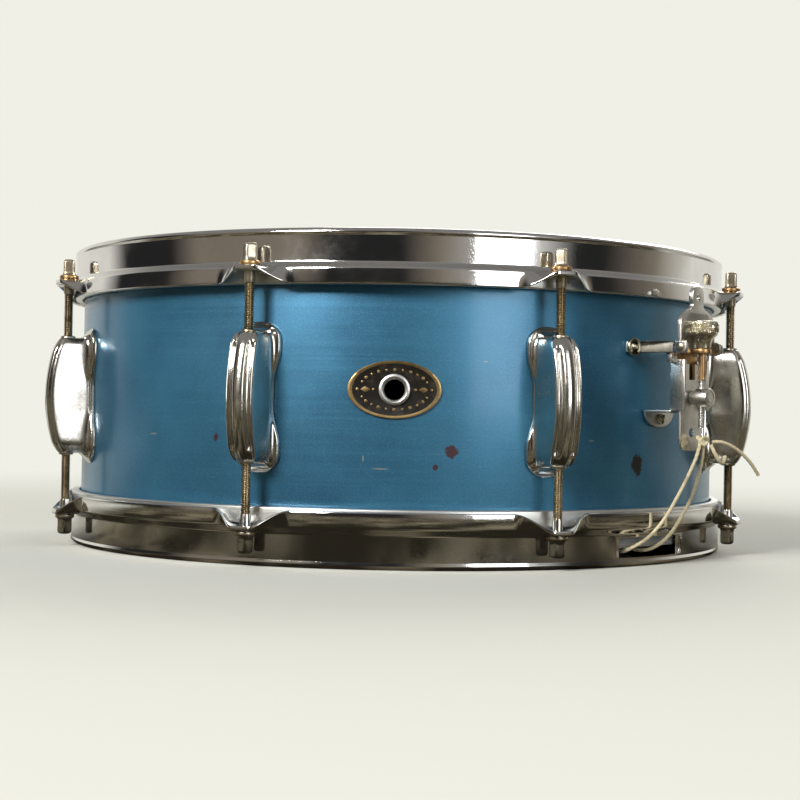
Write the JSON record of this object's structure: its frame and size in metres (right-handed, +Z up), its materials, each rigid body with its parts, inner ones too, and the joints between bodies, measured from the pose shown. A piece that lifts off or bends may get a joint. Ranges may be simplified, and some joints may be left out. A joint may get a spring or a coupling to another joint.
{
  "type": "snare drum",
  "caption": "Shallow lacquered snare drum with chromed hoops, arched lugs, square-headed tension rods, an oval vent badge and a corded snare strainer.",
  "frame": {"origin": "middle of the plane that the bottom rim stands on", "axes": "+Z up through the heads, -Y towards the badge, +X to the right of the badge"},
  "size_m": [0.377, 0.377, 0.1593],
  "materials": {
    "lacquered_shell": "blue metallic lacquer over wood, satin, chipped and scratched",
    "maple": "bare maple",
    "coated_film": "coated drum skin",
    "clear_film": "thin hazy drum skin",
    "aluminium": "plain",
    "hoop_chrome": "polished plating with light pitting",
    "lug_chrome": "polished plating, worn",
    "strainer_chrome": "worn plating on pressed steel",
    "worn_nickel": "tarnished nickel plating",
    "worn_brass": "plating worn through to the base metal",
    "badge_enamel": "black field with a gold border",
    "snare_steel": "bright coiled wire",
    "cotton_cord": "waxed cotton, aged"
  },
  "bodies": {
    "drum": {"shell": "lacquered_shell", "batter_reinforcement_ring": "maple", "snare_reinforcement_ring": "maple", "batter_head_film": "coated_film", "snare_head_film": "clear_film", "batter_flesh_hoop": "aluminium", "snare_flesh_hoop": "aluminium", "vent_grommet": "aluminium", "batter_hoop": "hoop_chrome", "snare_hoop": "hoop_chrome", "lug_1": "lug_chrome", "lug_2": "lug_chrome", "lug_3": "lug_chrome", "lug_4": "lug_chrome", "lug_5": "lug_chrome", "lug_6": "lug_chrome", "lug_7": "lug_chrome", "lug_8": "lug_chrome", "badge_plate": "badge_enamel", "strainer_frame": "strainer_chrome", "lever_pivot_left": "strainer_chrome", "lever_pivot_right": "strainer_chrome", "butt_plate": "strainer_chrome", "butt_clamp": "strainer_chrome", "strainer_screw_left": "worn_nickel", "strainer_screw_right": "worn_nickel", "strainer_screw_lower": "worn_nickel", "butt_screw_left": "worn_nickel", "butt_screw_right": "worn_nickel", "butt_cord_left": "cotton_cord", "butt_cord_right": "cotton_cord"},
    "throw_lever": {"throw_lever": "strainer_chrome"},
    "screw_bracket": {"screw_bracket": "worn_brass"},
    "tension_knob": {"tension_knob": "worn_nickel"},
    "cord_carriage": {"carriage_plate": "strainer_chrome", "barrel_nut": "strainer_chrome", "cord_knot": "cotton_cord", "cord_strand_outer": "cotton_cord", "cord_strand_inner": "cotton_cord", "cord_tail_long": "cotton_cord", "cord_tail_short": "cotton_cord"},
    "snares": {"snare_wires": "snare_steel"},
    "top_rod_1": {"top_tension_rod_1": "worn_nickel"},
    "bottom_rod_1": {"bottom_tension_rod_1": "worn_nickel"},
    "top_rod_2": {"top_tension_rod_2": "worn_nickel"},
    "bottom_rod_2": {"bottom_tension_rod_2": "worn_nickel"},
    "top_rod_3": {"top_tension_rod_3": "worn_nickel"},
    "bottom_rod_3": {"bottom_tension_rod_3": "worn_nickel"},
    "top_rod_4": {"top_tension_rod_4": "worn_nickel"},
    "bottom_rod_4": {"bottom_tension_rod_4": "worn_nickel"},
    "top_rod_5": {"top_tension_rod_5": "worn_nickel"},
    "bottom_rod_5": {"bottom_tension_rod_5": "worn_nickel"},
    "top_rod_6": {"top_tension_rod_6": "worn_nickel"},
    "bottom_rod_6": {"bottom_tension_rod_6": "worn_nickel"},
    "top_rod_7": {"top_tension_rod_7": "worn_nickel"},
    "bottom_rod_7": {"bottom_tension_rod_7": "worn_nickel"},
    "top_rod_8": {"top_tension_rod_8": "worn_nickel"},
    "bottom_rod_8": {"bottom_tension_rod_8": "worn_nickel"}
  },
  "joints": [
    {"name": "throw_lever_swing", "type": "hinge", "parent": "drum", "child": "throw_lever", "pos_m": [0.14555, -0.14007, 0.1078], "axis": [0.6934, 0.7206, 0], "range_deg": [0, 90]},
    {"name": "bracket_drop", "type": "slide", "parent": "drum", "child": "screw_bracket", "axis": [0, 0, -1], "range_m": [0, 0.0024], "deforming": ["cord_strand_outer", "cord_strand_inner"]},
    {"name": "knob_spin", "type": "hinge", "parent": "screw_bracket", "child": "tension_knob", "pos_m": [0.14699, -0.14145, 0.108], "axis": [0, 0, 1], "range_deg": [-720, 720]},
    {"name": "carriage_slide", "type": "slide", "parent": "screw_bracket", "child": "cord_carriage", "axis": [0, 0, 1], "range_m": [-0.00159, 0.00159], "deforming": ["cord_strand_outer", "cord_strand_inner"]},
    {"name": "snare_swing", "type": "hinge", "parent": "drum", "child": "snares", "pos_m": [-0.11564, 0.12186, 0.0082], "axis": [0.7254, 0.6884, 0], "range_deg": [0, 0.44]},
    {"name": "top_rod_1_spin", "type": "hinge", "parent": "drum", "child": "top_rod_1", "pos_m": [0.07294, -0.17609, 0.1409], "axis": [0, 0, 1], "range_deg": [-540, 540]},
    {"name": "bottom_rod_1_spin", "type": "hinge", "parent": "drum", "child": "bottom_rod_1", "pos_m": [0.07294, -0.17609, 0.017], "axis": [0, 0, 1], "range_deg": [-540, 540]},
    {"name": "top_rod_2_spin", "type": "hinge", "parent": "drum", "child": "top_rod_2", "pos_m": [0.17609, -0.07294, 0.1409], "axis": [0, 0, 1], "range_deg": [-540, 540]},
    {"name": "bottom_rod_2_spin", "type": "hinge", "parent": "drum", "child": "bottom_rod_2", "pos_m": [0.17609, -0.07294, 0.017], "axis": [0, 0, 1], "range_deg": [-540, 540]},
    {"name": "top_rod_3_spin", "type": "hinge", "parent": "drum", "child": "top_rod_3", "pos_m": [0.17609, 0.07294, 0.1409], "axis": [0, 0, 1], "range_deg": [-540, 540]},
    {"name": "bottom_rod_3_spin", "type": "hinge", "parent": "drum", "child": "bottom_rod_3", "pos_m": [0.17609, 0.07294, 0.017], "axis": [0, 0, 1], "range_deg": [-540, 540]},
    {"name": "top_rod_4_spin", "type": "hinge", "parent": "drum", "child": "top_rod_4", "pos_m": [0.07294, 0.17609, 0.1409], "axis": [0, 0, 1], "range_deg": [-540, 540]},
    {"name": "bottom_rod_4_spin", "type": "hinge", "parent": "drum", "child": "bottom_rod_4", "pos_m": [0.07294, 0.17609, 0.017], "axis": [0, 0, 1], "range_deg": [-540, 540]},
    {"name": "top_rod_5_spin", "type": "hinge", "parent": "drum", "child": "top_rod_5", "pos_m": [-0.07294, 0.17609, 0.1409], "axis": [0, 0, 1], "range_deg": [-540, 540]},
    {"name": "bottom_rod_5_spin", "type": "hinge", "parent": "drum", "child": "bottom_rod_5", "pos_m": [-0.07294, 0.17609, 0.017], "axis": [0, 0, 1], "range_deg": [-540, 540]},
    {"name": "top_rod_6_spin", "type": "hinge", "parent": "drum", "child": "top_rod_6", "pos_m": [-0.17609, 0.07294, 0.1409], "axis": [0, 0, 1], "range_deg": [-540, 540]},
    {"name": "bottom_rod_6_spin", "type": "hinge", "parent": "drum", "child": "bottom_rod_6", "pos_m": [-0.17609, 0.07294, 0.017], "axis": [0, 0, 1], "range_deg": [-540, 540]},
    {"name": "top_rod_7_spin", "type": "hinge", "parent": "drum", "child": "top_rod_7", "pos_m": [-0.17609, -0.07294, 0.1409], "axis": [0, 0, 1], "range_deg": [-540, 540]},
    {"name": "bottom_rod_7_spin", "type": "hinge", "parent": "drum", "child": "bottom_rod_7", "pos_m": [-0.17609, -0.07294, 0.017], "axis": [0, 0, 1], "range_deg": [-540, 540]},
    {"name": "top_rod_8_spin", "type": "hinge", "parent": "drum", "child": "top_rod_8", "pos_m": [-0.07294, -0.17609, 0.1409], "axis": [0, 0, 1], "range_deg": [-540, 540]},
    {"name": "bottom_rod_8_spin", "type": "hinge", "parent": "drum", "child": "bottom_rod_8", "pos_m": [-0.07294, -0.17609, 0.017], "axis": [0, 0, 1], "range_deg": [-540, 540]}
  ],
  "couplings": [
    {"joint": "throw_lever_swing", "follows": "bracket_drop", "rad_per_m": 654.49},
    {"joint": "snare_swing", "follows": "bracket_drop", "rad_per_m": 2.9816},
    {"joint": "knob_spin", "follows": "carriage_slide", "rad_per_m": -7913.3}
  ]
}
